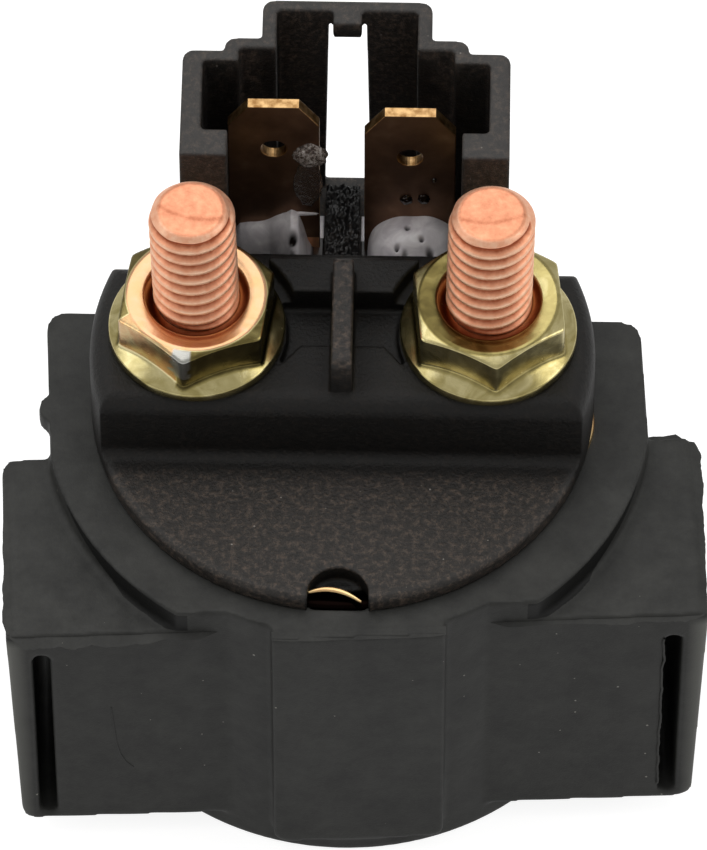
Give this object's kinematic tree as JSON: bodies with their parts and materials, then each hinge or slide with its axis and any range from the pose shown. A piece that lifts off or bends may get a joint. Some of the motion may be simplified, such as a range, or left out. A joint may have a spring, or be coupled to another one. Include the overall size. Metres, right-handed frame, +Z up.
{
  "type": "relay",
  "caption": "Motorcycle starter relay: a solenoid in a steel can closes heavy studs on a round cap with a blade socket, held in a rubber boot with slotted ears.",
  "frame": {"origin": "on the can's axis, in the face that the boot stands on", "axes": "+Z up along the studs, +Y towards the connector socket, +X from the left stud to the right one"},
  "size_m": [0.0489, 0.0401, 0.049],
  "materials": {
    "rubber": "matte moulded rubber",
    "zinc_can": "yellow passivated zinc on drawn steel",
    "phenolic": "satin moulded phenolic",
    "copper": "bright copper plating",
    "zinc_nut": "yellow passivated zinc, iridescent",
    "tinned_brass": "dull brass with a bright sheared edge",
    "sealant": "matte potting resin",
    "dark_sealant": "rough dark potting resin",
    "gasket": "matte rubber",
    "steel": "machined steel",
    "nylon": "natural moulded nylon",
    "enamelled_copper": "enamelled copper wire",
    "brass": "drawn brass",
    "spring_steel": "spring steel wire",
    "phenolic_paper": "brown phenolic laminate"
  },
  "bodies": {
    "housing": {"rubber_boot": "rubber", "steel_can": "zinc_can", "terminal_cap": "phenolic", "stud_left": "copper", "stud_right": "copper", "nut_left": "zinc_nut", "nut_right": "zinc_nut", "blade_left": "tinned_brass", "blade_right": "tinned_brass", "sealant_left": "sealant", "sealant_right": "sealant", "sealant_middle": "dark_sealant", "cap_gasket": "gasket", "pole_plate": "steel", "coil_bobbin": "nylon", "coil_winding": "enamelled_copper", "guide_tube": "brass", "fixed_core": "steel", "coil_lead_left": "enamelled_copper", "coil_lead_right": "enamelled_copper", "return_spring": "spring_steel"},
    "plunger_set": {"plunger": "steel", "plunger_rod": "steel", "contact_spring": "spring_steel", "rod_clip": "spring_steel"},
    "bridge_set": {"contact_bridge": "copper", "bridge_insulator": "phenolic_paper", "bridge_washer": "phenolic_paper"}
  },
  "joints": [
    {"name": "plunger_slide", "type": "slide", "parent": "housing", "child": "plunger_set", "axis": [0, 0, 1], "range_m": [0, 0.002], "stiffness_N_per_m": 600, "springref_m": -0.0025, "deforming": ["return_spring"]},
    {"name": "bridge_overtravel", "type": "slide", "parent": "plunger_set", "child": "bridge_set", "axis": [0, 0, 1], "range_m": [-0.0006, 0], "stiffness_N_per_m": 1500, "springref_m": 0.002, "deforming": ["contact_spring"]}
  ]
}
